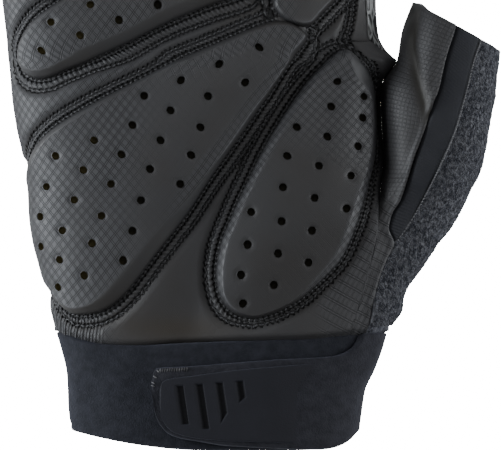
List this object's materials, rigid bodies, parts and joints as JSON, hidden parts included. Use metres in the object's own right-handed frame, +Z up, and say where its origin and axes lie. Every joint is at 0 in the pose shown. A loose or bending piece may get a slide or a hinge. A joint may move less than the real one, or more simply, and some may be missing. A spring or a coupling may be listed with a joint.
{
  "type": "short-finger training glove",
  "caption": "Right-hand short-finger training glove with padded perforated palm, terry thumb, mesh back and a wrist strap with a moulded pull tab.",
  "frame": {"origin": "on the floor, under the middle of the glove's bounding box; the glove lies on its back with the palm up", "axes": "+X is the thumb side, +Y runs from the wrist to the fingers, +Z is up, out of the palm"},
  "size_m": [0.1338, 0.1626, 0.0317],
  "materials": {
    "embossed_leather": "near-black leather with a fine embossed lattice, satin",
    "stretch_mesh": "dark grey stretch mesh",
    "ribbed_elastic": "black elastic with fine cross ribs",
    "terry_cloth": "charcoal terry",
    "neoprene": "near-black navy knit-faced neoprene, matt",
    "moulded_patch": "near-black, satin"
  },
  "bodies": {
    "root": {"palm_leather": "embossed_leather", "hypothenar_pad": "embossed_leather", "thenar_pad": "embossed_leather", "knuckle_pad": "embossed_leather", "forefinger_pad": "embossed_leather", "back_fabric": "stretch_mesh", "fourchette_little_ring": "stretch_mesh", "fourchette_ring_middle": "stretch_mesh", "fourchette_middle_index": "stretch_mesh", "thumb_strip": "ribbed_elastic", "thumb_terry": "terry_cloth", "cuff": "neoprene", "closure_strap": "neoprene", "grip_patch": "moulded_patch"}
  },
  "joints": []
}
